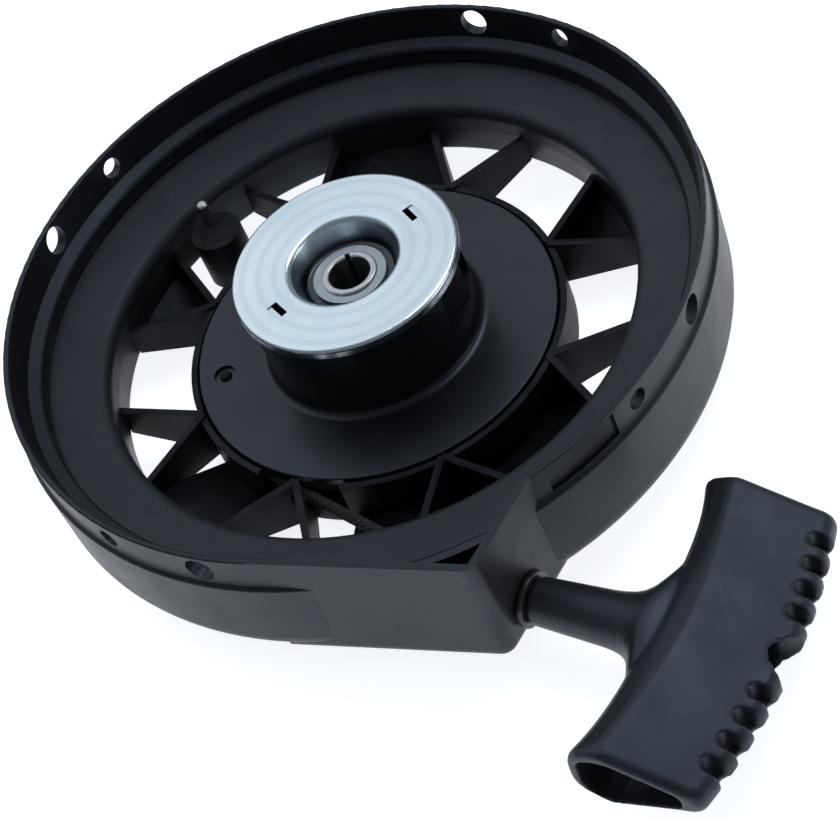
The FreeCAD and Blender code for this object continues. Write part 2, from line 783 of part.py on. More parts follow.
def boss_pin_at(level):
    return heading(BOSS_PIN_DIRECTION, BOSS_PIN_DISTANCE, level)


def make_boss_pin():
    foot = BOSS_TOP - BOSS_PIN_DEPTH
    shank = cylinder("boss_pin_shank", str(BOSS_PIN_RADIUS), str(BOSS_PIN_TOP - foot),
                     at=boss_pin_at(foot))
    doc.recompute()
    picks = [(i, 1.2) for i, edge in enumerate(shank.Shape.Edges, start=1)
             if isinstance(edge.Curve, Part.Circle)
             and abs(edge.Curve.Center.z - BOSS_PIN_TOP) < 0.01]
    keep(rounded("boss_pin_solid", shank, picks), "boss_pin")


# ---------------------------------------------------------------- pulley
DOG_WINDOW_START = 37.0
DOG_WINDOW_SPAN = 43.0
ANCHOR_DIRECTION = -102.8
ANCHOR_DISTANCE = 49.9
ANCHOR_SEAT_RADIUS = 3.6
ANCHOR_SEAT_DEPTH = 1.0
ANCHOR_HOLE_RADIUS = 2.1


def make_pulley():
    outline = (
        ("pulley_bore_radius", "sleeve_foot"),
        ("sleeve_radius", "sleeve_foot"),
        ("sleeve_radius", "dog_web_foot"),
        ("hub_wall_radius", "dog_web_foot"),
        ("hub_wall_radius", "groove_top"),
        ("core_inner_radius", "groove_top"),
        ("core_inner_radius", "pulley_foot"),
        ("flange_radius", "pulley_foot"),
        ("flange_radius", "groove_foot"),
        ("core_radius", "groove_foot"),
        ("core_radius", "groove_top"),
        ("flange_radius", "groove_top"),
        ("flange_radius", "flange_top"),
        ("hub_radius", "flange_top"),
        ("hub_radius", "hub_top"),
        ("hub_wall_radius", "hub_top"),
        ("hub_wall_radius", "dog_floor"),
        ("sleeve_radius", "dog_floor"),
        ("sleeve_radius", "sleeve_top"),
        ("pulley_bore_radius", "sleeve_top"),
    )
    rounds = (
        ("hub_foot_round", [("hub_radius", "flange_top")]),
        ("0.5", [("flange_radius", "flange_top"), ("hub_radius", "hub_top")]),
    )
    drum = turned("pulley_body", outline, rounds)
    posts = []
    windows = []
    for side in range(2):
        turn = 180 * side
        pivot = heading(value("dog_pivot_angle") + turn, value("dog_pivot_radius"),
                        value("dog_floor") - 1)
        posts.append(cylinder(f"dog_post_{side}", "dog_post_radius", "hub_top - dog_floor",
                              at=pivot))
        window = cylinder(f"dog_window_{side}", "hub_radius + 2", "hub_top - dog_floor + 3")
        window.Placement = turned_about_z(DOG_WINDOW_START + turn,
                                          Vector(0, 0, value("dog_floor")))
        window.Angle = DOG_WINDOW_SPAN
        windows.append(window)
    inside = cylinder("window_inside", "hub_wall_radius - 1", "60")
    window_cut = cut("dog_window_cut", fuse("dog_windows", windows), inside)
    seat = cylinder("anchor_seat", str(ANCHOR_SEAT_RADIUS), "4",
                    at=anchor_at(value("flange_top") - ANCHOR_SEAT_DEPTH))
    hole = cylinder("anchor_hole", str(ANCHOR_HOLE_RADIUS), "10",
                    at=anchor_at(value("groove_top") - 2))
    body = cut("pulley_blank", drum, fuse("pulley_tools", [window_cut, seat, hole]))
    keep(fuse("rope_pulley_solid", [body] + posts), "rope_pulley")


def anchor_at(level):
    return heading(ANCHOR_DIRECTION, ANCHOR_DISTANCE, level)


COVER_CLEARANCE = 0.1
COVER_THICKNESS = 1.2
SPRING_TURNS = 9
SPRING_STRIP = 0.5
SPRING_FOOT = 6.6
SPRING_HEIGHT = 10.0
SPRING_STEPS_PER_TURN = 24


def make_spring_chamber():
    outline = (
        ("post_foot_radius + 0.6", "pulley_foot"),
        ("core_inner_radius - 0.1", "pulley_foot"),
        ("core_inner_radius - 0.1", "pulley_foot + 1.2"),
        ("post_foot_radius + 0.6", "pulley_foot + 1.2"),
    )
    keep(turned("spring_cover_body", outline), "spring_cover")

    # flat strip wound as an even spiral, on edge
    first = value("sleeve_radius") + 1.6
    last = value("core_inner_radius") - 1.2
    steps = SPRING_TURNS * SPRING_STEPS_PER_TURN
    inner = []
    outer = []
    for i in range(steps + 1):
        angle = 360 * SPRING_TURNS * i / steps
        radius = first + (last - first) * i / steps
        inner.append(heading(angle, radius))
        outer.append(heading(angle, radius + SPRING_STRIP))
    inner_curve = Part.BSplineCurve()
    inner_curve.interpolate(inner)
    outer_curve = Part.BSplineCurve()
    outer_curve.interpolate(outer)
    edges = [
        inner_curve.toShape(),
        Part.makeLine(inner[-1], outer[-1]),
        outer_curve.toShape(),
        Part.makeLine(outer[0], inner[0]),
    ]
    strip = Part.Face(Part.Wire(Part.__sortEdges__(edges)))
    body = strip.extrude(Vector(0, 0, SPRING_HEIGHT))
    keep(solid("rewind_spring_solid", body, Placement(Vector(0, 0, SPRING_FOOT), Rotation())),
         "rewind_spring")


def make_winding():
    outline = (
        ("core_radius + 0.05", "groove_foot + 0.1"),
        ("winding_radius", "groove_foot + 0.1"),
        ("winding_radius", "groove_top - 0.1"),
        ("core_radius + 0.05", "groove_top - 0.1"),
    )
    rounds = (
        ("rope_radius", [("winding_radius", "groove_foot + 0.1"),
                         ("winding_radius", "groove_top - 0.1")]),
    )
    keep(turned("winding_body", outline, rounds), "rope_winding")
    stub = cylinder("anchor_stub", "rope_radius", "3",
                    at=anchor_at(value("groove_top") - 0.05))
    doc.recompute()
    top = value("groove_top") - 0.05 + 3
    picks = [(i, 0.9) for i, edge in enumerate(stub.Shape.Edges, start=1)
             if isinstance(edge.Curve, Part.Circle) and abs(edge.Curve.Center.z - top) < 0.01]
    keep(rounded("rope_anchor_solid", stub, picks), "rope_anchor_end")


# ---------------------------------------------------------------- dogs
def make_dogs():
    names = ("a", "b")
    for side, name in enumerate(names):
        turn = 180 * side
        pivot = heading(value("dog_pivot_angle") + turn, value("dog_pivot_radius"),
                        value("dog_floor") + DOG_LIFT)
        keep(dog(f"dog_{name}", pivot, value("dog_heading") + turn), f"starter_dog_{name}")
        keep(dog_spring(f"dog_{name}", pivot, value("dog_heading") + turn),
             f"dog_spring_{name}")


DOG_LIFT = 0.3
DOG_SPRING_RADIUS = 3.5
DOG_SPRING_WIRE = 0.4
DOG_SPRING_TURNS = 2.75
DOG_SPRING_PITCH = 1.3


def dog(name, pivot, direction):
    """A tapered arm with a lower boss, so that its spring fits above the boss."""
    boss = cylinder(f"{name}_boss", "dog_boss_radius", "dog_boss_height", at=pivot)
    arm = doc.addObject("Part::Wedge", f"{name}_arm")
    root_half = value("dog_root_width") / 2
    tip_half = value("dog_tip_width") / 2
    arm.Ymin = value("dog_boss_radius") + 0.6
    bind(arm, Ymax="dog_reach", Zmax="dog_height", Z2max="dog_height")
    arm.Zmin = 0
    arm.Z2min = 0
    arm.Xmin = -root_half
    arm.Xmax = root_half
    arm.X2min = -tip_half
    arm.X2max = tip_half
    along = heading(direction)
    frame = Rotation(UP, direction - 90)
    arm.Placement = Placement(pivot, frame)
    neck = box(f"{name}_neck", "dog_root_width", "dog_boss_radius + 1", "dog_boss_height")
    neck.Placement = Placement(pivot + frame.multVec(Vector(-root_half, 0, 0)), frame)
    hole = cylinder(f"{name}_hole", "dog_bore_radius", "30", at=pivot - UP)
    return cut(f"{name}_solid", fuse(f"{name}_blank", [boss, neck, arm]), hole)


def dog_spring(name, pivot, direction):
    coil = wire_coil(DOG_SPRING_RADIUS, DOG_SPRING_WIRE, DOG_SPRING_PITCH, DOG_SPRING_TURNS)
    level = value("dog_boss_height") + DOG_SPRING_WIRE + 0.3
    place = Placement(pivot + Vector(0, 0, level), Rotation(UP, direction))
    return solid(f"{name}_spring_solid", coil, place)


# ---------------------------------------------------------------- retainer
LANCE_DIRECTIONS = (-74.0, 101.5)


def make_retainer():
    outline = (
        ("retainer_bore_radius", "dish_floor_top - retainer_sheet + 0.1"),
        ("dish_floor_radius + 0.4", "dish_floor_top - retainer_sheet + 0.1"),
        ("dish_radius + 1.2", "retainer_top - retainer_sheet"),
        ("retainer_radius - retainer_sheet", "retainer_top - retainer_sheet"),
        ("retainer_radius - retainer_sheet", "retainer_top - retainer_skirt"),
        ("retainer_radius", "retainer_top - retainer_skirt"),
        ("retainer_radius", "retainer_top"),
        ("dish_radius", "retainer_top"),
        ("dish_floor_radius - 0.6", "dish_floor_top"),
        ("retainer_bore_radius", "dish_floor_top"),
    )
    rounds = (
        ("1.3", [("retainer_radius", "retainer_top")]),
        ("2.2", [("dish_radius", "retainer_top")]),
        ("1.2", [("dish_floor_radius - 0.6", "dish_floor_top")]),
    )
    disc = turned("retainer_body", outline, rounds)
    slots = []
    tabs = []
    for i, direction in enumerate(LANCE_DIRECTIONS):
        slots.append(lance_block(f"lance_slot_{i}", direction, "lance_width", "10",
                                 value("retainer_top") - 5))
        tabs.append(lance_block(f"lance_tab_{i}", direction, "retainer_sheet", "tab_drop",
                                value("retainer_top") - value("tab_drop") - 0.4))
    pierced = cut("retainer_pierced", disc, fuse("retainer_slots", slots))
    # the tab joins the sheet at the slot's outer edge
    keep(fuse("dog_retainer_solid", [pierced] + tabs), "dog_retainer")


def lance_block(name, direction, width, height, level):
    """A block that stands across the radius; its outer face is the slot's outer edge."""
    block = box(name, width, "lance_length", height)
    outer = value("lance_radius") + value("lance_width") / 2
    if width != "lance_width":
        outer += 0.02
    frame = Rotation(UP, direction)
    corner = Vector(outer - value(width), -value("lance_length") / 2, level)
    block.Placement = Placement(frame.multVec(corner), frame)
    return block


# ---------------------------------------------------------------- rope and eyelet
def make_rope():
    start, bend, exit_at, out = rope_points()
    rope = value("rope_radius")

    # eyelet: a flanged bush pressed into the mouth wall, about the rope's line
    barrel = turned("eyelet_body", (
        (str(EYELET_BORE), "0"),
        (str(EYELET_BARREL_RADIUS), "0"),
        (str(EYELET_BARREL_RADIUS), str(EYELET_BARREL)),
        (str(EYELET_FLANGE_RADIUS), str(EYELET_BARREL)),
        (str(EYELET_FLANGE_RADIUS), str(EYELET_BARREL + EYELET_FLANGE)),
        (str(EYELET_BORE), str(EYELET_BARREL + EYELET_FLANGE)),
    ), (
        (str(EYELET_EDGE), [(str(EYELET_FLANGE_RADIUS), str(EYELET_BARREL + EYELET_FLANGE))]),
        (str(EYELET_MOUTH), [(str(EYELET_BORE), str(EYELET_BARREL + EYELET_FLANGE)),
                             (str(EYELET_BORE), "0")]),
    ))
    barrel.Placement = Placement(exit_at + out * (EYELET_STAND - EYELET_BARREL),
                                 Rotation(UP, out))
    keep(barrel, "rope_eyelet")

    # rope from the winding to the eyelet's mouth, with one easy bend in the nose
    face = exit_at + out * (EYELET_STAND + EYELET_FLANGE + 0.2)
    lead = rope_tube([start, bend, face], rope)
    keep(solid("rope_lead_solid", lead), "rope_lead")

    # rope from there to the knot in the handle
    knot_at = exit_at + out * (KNOT_AT - KNOT_RADIUS - 0.5)
    tail = Part.makeCylinder(rope, (knot_at - face).Length, face, out)
    keep(solid("rope_tail_solid", tail), "rope_tail")
    return face, knot_at, out, exit_at


EYELET_BORE = 2.3
EYELET_BARREL = 6.0
EYELET_FLANGE = 1.4
EYELET_EDGE = 0.6
EYELET_MOUTH = 0.7
EYELET_STAND = 0.8
KNOT_AT = 66.0


def rope_tube(points, radius):
    """Straight runs joined by tangent arcs, as one round tube."""
    edges = []
    here = points[0]
    for i in range(1, len(points) - 1):
        back = (points[i - 1] - points[i]).normalize()
        on = (points[i + 1] - points[i]).normalize()
        turn = math.pi - back.getAngle(on)
        shorter = min((points[i] - points[i - 1]).Length, (points[i + 1] - points[i]).Length)
        setback = 0.45 * shorter
        size = setback / math.tan(turn / 2)
        first = points[i] + back * setback
        last = points[i] + on * setback
        inward = (back + on).normalize()
        centre = points[i] + inward * math.hypot(setback, size)
        middle = centre - inward * size
        edges.append(Part.makeLine(here, first))
        edges.append(Part.Arc(first, middle, last).toShape())
        here = last
        print(f"rope bend radius {size:.1f} mm, turn {math.degrees(turn):.1f} deg")
    edges.append(Part.makeLine(here, points[-1]))
    path = Part.Wire(edges)
    toward = (points[1] - points[0]).normalize()
    section = Part.Wire(Part.makeCircle(radius, points[0], toward))
    tube = path.makePipeShell([section], True, False)
    wanted = math.pi * radius ** 2 * path.Length
    print(f"rope length {path.Length:.1f} mm, volume ratio {tube.Volume / wanted:.4f}")
    return tube


# ---------------------------------------------------------------- handle
SLOT_PITCH = 8.05
SLOT_WIDTH = 4.3
SLOT_DEPTH = 7.0
THROUGH_DEPTH = 3.0
SLOTS_PER_SIDE = 4
FIRST_SLOT = 13.2


def make_handle(out, exit_at, knot_at):
    """A T-shaped grip: a round stem on the rope's line and a deep bar across it.

    Local frame: X along the rope, Y along the bar, Z through its thickness.
    """
    frame = Placement(exit_at, Rotation(out, UP.cross(out), UP, "XZY"))
    tilt = Placement(Vector(), Rotation(Vector(1, 0, 0), value("grip_tilt")))
    place = frame.multiply(tilt)

    stem_start = value("stem_start")
    stem = doc.addObject("Part::Cone", "grip_stem")
    bind(stem, Radius1="stem_radius", Radius2="stem_root_radius")
    stem.Height = value("bar_start") - stem_start + 6
    stem.Placement = Placement(Vector(stem_start, 0, 0), Rotation(UP, Vector(1, 0, 0)))

    bar = doc.addObject("PartDesign::Body", "grip_bar")
    near = value("bar_start")
    depth = value("bar_depth")
    section = (
        ("bar_start", "5.4"), ("bar_start + 2.8", "9.2"), ("bar_start + 6", "10.8"),
        ("bar_start + 11", "11.6"), ("bar_start + bar_depth - 5", "5"),
        ("bar_start + bar_depth - 1", "3.4"), ("bar_start + bar_depth", "1.6"),
    )
    sketch = bar.newObject("Sketcher::SketchObject", "grip_section")
    sketch.AttachmentSupport = [(origin_plane(bar, "XZ_Plane"), "")]
    sketch.MapMode = "FlatFace"
    upper = [Vector(value(x), value(z), 0) for x, z in section]
    lower = [Vector(p.x, -p.y, 0) for p in reversed(upper)]
    corners = upper + lower
    for i, corner in enumerate(corners):
        sketch.addGeometry(Part.LineSegment(corner, corners[(i + 1) % len(corners)]), False)
    pad = bar.newObject("PartDesign::Pad", "grip_pad")
    pad.Profile = (sketch, [""])
    bind(pad, Length="grip_length")
    pad.SideType = "Symmetric"
    doc.recompute()

    # the stem flares into the bar, within the bar's thickness
    flare = turned("grip_flare", (
        ("0", "0"), ("stem_root_radius", "0"), ("stem_root_radius + 1.4", "5"),
        ("stem_root_radius + 4", "8.6"), ("stem_root_radius + 9", "11"), ("0", "11"),
    ))
    flare.Placement = Placement(Vector(near - 10, 0, 0), Rotation(UP, Vector(1, 0, 0)))
    slab = box("grip_flare_slab", "20", "60", "19", Placement(Vector(near - 12, -30, -9.5),
                                                             Rotation()))
    flare_flat = common("grip_flare_flat", [flare, slab])
    parts = fuse("grip_blank", [bar, stem, flare_flat])
    tools = []
    # finger slots on the palm side, four each way from the knot's hole
    for side in (-1, 1):
        for i in range(SLOTS_PER_SIDE):
            middle = side * (FIRST_SLOT + i * SLOT_PITCH)
            slot = box(f"grip_slot_{'l' if side < 0 else 'r'}{i}", str(SLOT_DEPTH + 4),
                       str(SLOT_WIDTH), "8")
            slot.Placement = Placement(
                Vector(near + depth - SLOT_DEPTH, middle - SLOT_WIDTH / 2, 1.6), Rotation())
            notch = box(f"grip_notch_{'l' if side < 0 else 'r'}{i}", str(THROUGH_DEPTH + 4),
                        str(SLOT_WIDTH), "24")
            notch.Placement = Placement(
                Vector(near + depth - THROUGH_DEPTH, middle - SLOT_WIDTH / 2, -12), Rotation())
            tools += [slot, notch]
    bore = cylinder("grip_rope_bore", "rope_radius + 0.3", "100")
    bore.Placement = Placement(Vector(0, 0, 0), Rotation(UP, Vector(1, 0, 0)))
    well = cylinder("grip_knot_well", str(KNOT_WELL_RADIUS), "60")
    well.Placement = Placement(Vector(KNOT_AT - 6, 0, 0), Rotation(UP, Vector(1, 0, 0)))
    hollow = hollow_end(near, depth)
    tools += [bore, well, hollow]
    grip = cut("pull_handle_solid", parts, fuse("grip_tools", tools))
    grip.Placement = place
    keep(grip, "pull_handle")

    # steel cup that the knot bears on, and the knot
    cup = turned("rope_cup_body", (
        (str(CUP_BORE), "0"), (str(KNOT_WELL_RADIUS - 0.05), "0"),
        (str(KNOT_WELL_RADIUS - 0.05), "5"), (str(KNOT_WELL_RADIUS - 0.85), "5"),
        (str(KNOT_WELL_RADIUS - 0.85), "1"), (str(CUP_BORE), "1"),
    ))
    cup.Placement = Placement(exit_at + out * (KNOT_AT - 5.7), Rotation(UP, out))
    keep(cup, "rope_cup")
    knot = turned("rope_knot_body", (
        ("0", "0"), ("2.6", "0"), (str(KNOT_RADIUS), "2.2"), (str(KNOT_RADIUS), "5.8"),
        ("2.6", "8"), ("0", "8"),
    ), (
        ("1.5", [(str(KNOT_RADIUS), "2.2"), (str(KNOT_RADIUS), "5.8")]),
    ))
    knot.Placement = Placement(exit_at + out * (KNOT_AT - KNOT_RADIUS - 0.5), Rotation(UP, out))
    keep(knot, "rope_knot")


KNOT_WELL_RADIUS = 5.6
KNOT_RADIUS = 4.2
CUP_BORE = 2.2


def hollow_end(near, depth):
    """The bar's lower end is open."""
    wall = 2.4
    hollow = box("grip_hollow", str(depth - 17), "30", "11")
    hollow.Placement = Placement(
        Vector(near + wall + 1.6, -value("grip_length") / 2 - 2, -5.5), Rotation())
    return hollow


# ---------------------------------------------------------------- build everything
make_shell()
make_inner_ring()
make_spokes()
make_well()
make_centre()
make_boss_pin()
make_pulley()
make_spring_chamber()
make_winding()
make_dogs()
make_retainer()
rope_face, rope_knot_at, rope_out, rope_exit = make_rope()
make_handle(rope_out, rope_exit, rope_knot_at)
doc.recompute()

# ---------------------------------------------------------------- check and write
broken = [o.Name for o in doc.Objects if "Invalid" in o.State or "Error" in o.State]
if broken:
    raise RuntimeError(f"failed objects: {broken}")
for item in subparts:
    if item.Shape.isNull() or not item.Shape.isValid():
        raise RuntimeError(f"bad shape: {item.Label}")

os.makedirs("parts", exist_ok=True)
for item in subparts:
    item.Shape.exportStep(f"parts/{item.Label}.step")
    size = item.Shape.BoundBox
    print(f"{item.Label}: {len(item.Shape.Solids)} solid(s), {item.Shape.Volume / 1000:.2f} cm3, "
          f"{size.XLength:.1f} x {size.YLength:.1f} x {size.ZLength:.1f} mm")
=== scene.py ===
import json
import math

import bmesh
import bpy
from mathutils import Matrix, Vector


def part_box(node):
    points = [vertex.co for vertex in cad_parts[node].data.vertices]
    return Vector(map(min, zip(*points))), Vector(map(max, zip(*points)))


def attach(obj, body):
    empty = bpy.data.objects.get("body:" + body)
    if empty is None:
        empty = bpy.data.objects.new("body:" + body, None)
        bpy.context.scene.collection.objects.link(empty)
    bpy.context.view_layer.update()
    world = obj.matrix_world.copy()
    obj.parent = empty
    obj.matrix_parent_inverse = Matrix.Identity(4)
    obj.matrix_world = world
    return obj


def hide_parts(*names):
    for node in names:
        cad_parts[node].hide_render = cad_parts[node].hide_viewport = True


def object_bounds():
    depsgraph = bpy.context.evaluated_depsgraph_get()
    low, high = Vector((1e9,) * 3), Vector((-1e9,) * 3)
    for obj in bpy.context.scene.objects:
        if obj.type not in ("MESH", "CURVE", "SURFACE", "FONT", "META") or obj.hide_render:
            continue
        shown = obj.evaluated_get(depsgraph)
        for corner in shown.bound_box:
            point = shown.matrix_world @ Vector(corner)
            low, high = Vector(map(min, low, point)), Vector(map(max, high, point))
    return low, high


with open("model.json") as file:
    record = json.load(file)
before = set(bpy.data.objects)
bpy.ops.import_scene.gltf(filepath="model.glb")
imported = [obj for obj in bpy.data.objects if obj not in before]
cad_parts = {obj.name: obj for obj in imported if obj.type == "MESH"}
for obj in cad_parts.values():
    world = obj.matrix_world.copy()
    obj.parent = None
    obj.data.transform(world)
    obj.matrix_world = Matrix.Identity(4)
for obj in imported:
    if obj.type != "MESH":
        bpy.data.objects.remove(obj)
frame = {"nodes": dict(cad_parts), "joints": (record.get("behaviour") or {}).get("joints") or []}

nodes = frame["nodes"]
joints = {j["name"]: j for j in frame["joints"]}
cad_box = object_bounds()

MM = 0.001


# ---------------------------------------------------------------- shader helpers
# Patterns are laid out in object space, in metres, so a scale is in features per metre.
MIX_FACTOR = 0
MIX_FIRST = 6
MIX_SECOND = 7
MIX_RESULT = 2
# The pointiness of a surface is 0.5 where it is flat, and more on an outer edge.
EDGE_STARTS = 0.524
EDGE_FULL = 0.58


def shade(colour, tone):
    """A colour made darker or paler by a factor."""
    return tuple(c * tone for c in colour)


class Shader:
    """A small wrapper that keeps a material's node graph readable."""

    def __init__(self, name):
        self.material = bpy.data.materials.new(name)
        self.material.use_nodes = True
        self.tree = self.material.node_tree
        self.principled = self.tree.nodes["Principled BSDF"]
        self.place = self.tree.nodes.new("ShaderNodeTexCoord").outputs["Object"]
        self.bump_from = None

    def node(self, kind, **settings):
        """Add a node; a setting is one of its properties or the value of one of its inputs."""
        made = self.tree.nodes.new(kind)
        for key, setting in settings.items():
            if hasattr(made, key) and key not in made.inputs:
                setattr(made, key, setting)
            else:
                made.inputs[key].default_value = setting
        return made

    def link(self, source, target):
        self.tree.links.new(source, target)

    def put(self, socket, source):
        """A constant goes straight onto the shader; anything else is linked."""
        target = self.principled.inputs[socket]
        if hasattr(source, "is_output"):
            self.link(source, target)
        else:
            target.default_value = source

    def noise(self, scale, detail=3.0, rough=0.5, stretch=None):
        made = self.node("ShaderNodeTexNoise", Scale=scale, Detail=detail, Roughness=rough)
        source = self.place
        if stretch:
            mapping = self.node("ShaderNodeMapping", Scale=stretch)
            self.link(source, mapping.inputs["Vector"])
            source = mapping.outputs["Vector"]
        self.link(source, made.inputs["Vector"])
        return made.outputs["Fac"]

    def ramp(self, source, low, high, first, second):
        """Blend between two colours as source goes from low to high."""
        made = self.node("ShaderNodeValToRGB")
        stops = made.color_ramp.elements
        for stop, position, colour in zip(stops, (low, high), (first, second)):
            stop.position = position
            stop.color = (*colour, 1)
        self.link(source, made.inputs["Fac"])
        return made.outputs["Color"]

    def between(self, source, low, high, first, second):
        """Map a number from low..high to first..second."""
        made = self.node("ShaderNodeMapRange")
        made.inputs["From Min"].default_value = low
        made.inputs["From Max"].default_value = high
        made.inputs["To Min"].default_value = first
        made.inputs["To Max"].default_value = second
        self.link(source, made.inputs["Value"])
        return made.outputs["Result"]

    def maths(self, operation, first, second=None):
        made = self.node("ShaderNodeMath", operation=operation)
        for socket, source in zip(made.inputs, (first, second)):
            if source is None:
                continue
            if hasattr(source, "is_output"):
                self.link(source, socket)
            else:
                socket.default_value = source
        return made.outputs[0]

    def waves(self, source, pitch):
        """A sine that repeats each pitch of the source."""
        return self.maths("SINE", self.maths("MULTIPLY", source, 2 * math.pi / pitch))

    def mixed(self, factor, first, second):
        made = self.node("ShaderNodeMix", data_type="RGBA")
        for index, source in ((MIX_FACTOR, factor), (MIX_FIRST, first), (MIX_SECOND, second)):
            if hasattr(source, "is_output"):
                self.link(source, made.inputs[index])
            else:
                made.inputs[index].default_value = (*source, 1)
        return made.outputs[MIX_RESULT]

    def bump(self, height, depth):
        """Stack a bump of the given real depth on those before it."""
        made = self.node("ShaderNodeBump", Distance=depth, Strength=1.0)
        self.link(height, made.inputs["Height"])
        if self.bump_from:
            self.link(self.bump_from, made.inputs["Normal"])
        self.bump_from = made.outputs["Normal"]
        self.put("Normal", self.bump_from)

    def along(self, direction):
        """How far a point lies along a direction."""
        dot = self.node("ShaderNodeVectorMath", operation="DOT_PRODUCT")
        self.link(self.place, dot.inputs[0])
        dot.inputs[1].default_value = direction
        return dot.outputs["Value"]

    def radius_and_level(self):
        """Distance from the pulley's axis, and height along it."""
        parts = self.node("ShaderNodeSeparateXYZ")
        self.link(self.place, parts.inputs[0])
        x, y, z = parts.outputs
        squares = [self.maths("MULTIPLY", side, side) for side in (x, y)]
        return self.maths("SQRT", self.maths("ADD", *squares)), z

    def edges(self):
        """1 along outer edges, 0 elsewhere."""
        geometry = self.node("ShaderNodeNewGeometry")
        return self.between(geometry.outputs["Pointiness"], EDGE_STARTS, EDGE_FULL, 0, 1)


# ---------------------------------------------------------------- plastics
# Paler colour for outer edges: partly wear, partly a painted highlight.
WORN_AND_LIT_EDGE = (0.030, 0.032, 0.037)
COOL_GLOSS = (0.66, 0.80, 1.0, 1)
DUST_TONE = 2.2
FLOW_SCALE = 14
WAVE_SCALE = 24
GLOSS_SCALE = 60
WEAR_SCALE = 90
DUST_SCALE = 160
GLOSS_LOSS = 0.09
GLOSS_GAIN = 0.05


def plastic(name, base, pale, rough, grain, grain_depth, wave=0.06 * MM, ior=1.5):
    """Black moulded plastic: tinted by flow and dust, with a fine moulded grain."""
    s = Shader(name)
    tint = s.ramp(s.noise(FLOW_SCALE, detail=4, rough=0.55), 0.35, 0.7, base, pale)
    speck = s.between(s.noise(DUST_SCALE, detail=4, rough=0.7), 0.62, 0.78, 0.0, 0.12)
    colour = s.mixed(speck, tint, shade(pale, DUST_TONE))
    # Outer edges turn paler: partly wear from handling, partly a painted highlight where rounded
    # edges catch the light.
    edge_wear_and_highlight = s.between(s.noise(WEAR_SCALE, detail=3, rough=0.6), 0.4, 0.7, 0.1, 0.6)
    s.put("Base Color", s.mixed(s.maths("MULTIPLY", s.edges(), edge_wear_and_highlight), colour, WORN_AND_LIT_EDGE))
    gloss = s.noise(GLOSS_SCALE, detail=5, rough=0.6)
    s.put("Roughness", s.between(gloss, 0.25, 0.75, rough - GLOSS_GAIN, rough + GLOSS_LOSS))
    s.put("IOR", ior)
    s.put("Specular Tint", COOL_GLOSS)
    s.bump(s.noise(grain, detail=2, rough=0.5), grain_depth)
    s.bump(s.noise(WAVE_SCALE, detail=2, rough=0.4), wave)
    return s


housing = plastic("housing_black", (0.0050, 0.0054, 0.0072), (0.0090, 0.0097, 0.0128),
                  0.40, 2600, 0.012 * MM, ior=1.44)
# A darker, less glossy copy of the housing's plastic: painted shade for the spokes and the well,
# which sit deep inside the housing.
grille_shaded = plastic("grille_black_shaded", (0.0030, 0.0031, 0.0037), (0.0056, 0.0058, 0.0070),
                 0.46, 2600, 0.012 * MM, ior=1.22)
dog = plastic("dog_black", (0.012, 0.012, 0.013), (0.02, 0.02, 0.022), 0.34, 1600, 0.012 * MM)
grip = plastic("grip_black", (0.0084, 0.0090, 0.0116), (0.0138, 0.0148, 0.0190),
               0.42, 2200, 0.016 * MM, wave=0.10 * MM)

# the ring's face is granular
GRAINS_PER_METRE = 1700.0
GRAIN_HEIGHT = 0.06 * MM
ring = plastic("ring_granular", (0.0082, 0.0087, 0.0106), (0.0145, 0.0154, 0.0188),
               0.50, 2300, 0.05 * MM)
grains = ring.node("ShaderNodeTexVoronoi", Scale=GRAINS_PER_METRE, Randomness=1.0)
ring.link(ring.place, grains.inputs["Vector"])
ring.bump(ring.between(grains.outputs["Distance"], 0.0, 0.7, 1.0, 0.0), GRAIN_HEIGHT)

# the pulley's mould was turned, so fine rings run round the part
TURNING_PITCH = 0.55 * MM
TURNING_DEPTH = 0.0035 * MM
pulley = plastic("pulley_black", (0.0062, 0.0064, 0.0078), (0.0105, 0.0110, 0.0132),
                 0.33, 1900, 0.010 * MM)
pulley_radius, _ = pulley.radius_and_level()
pulley.bump(pulley.waves(pulley_radius, TURNING_PITCH), TURNING_DEPTH)


def nylon(name, base, pale):
    """Dark, fairly glossy nylon with fine mottling."""
    s = Shader(name)
    s.put("Base Color", s.ramp(s.noise(300, detail=4, rough=0.6), 0.3, 0.75, base, pale))
    s.put("Roughness", s.between(s.noise(200, detail=3, rough=0.6), 0.3, 0.7, 0.24, 0.36))
    s.bump(s.noise(1200, detail=2, rough=0.5), 0.01 * MM)
    return s


eyelet = nylon("eyelet_nylon", (0.010, 0.011, 0.013), (0.024, 0.026, 0.030))

# ---------------------------------------------------------------- metals
retainer_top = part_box("dog_retainer")[1].z
# Pitch of the broad arcs round the axis that are painted into the zinc's colour as a painted
# reflection.
REFLECTION_ARC_PITCH = 5.2 * MM
# Depths below the retainer's face where the painted dish shade begins and where it is full.
DISH_SHADE_STARTS = 1.8 * MM
DISH_SHADE_FULL = 6.2 * MM
SMEAR_SCALE = 38
TARNISH_SCALE = 75
SPANGLE_SCALE = 240
PEEL_SCALE = 900
PEEL_DEPTH = 0.006 * MM
ZINC_RING_DEPTH = 0.0009 * MM
MARK_SCALE = 500
MARK_STRETCH = (1, 1, 0.12)
MARK_DEPTH = 0.006 * MM


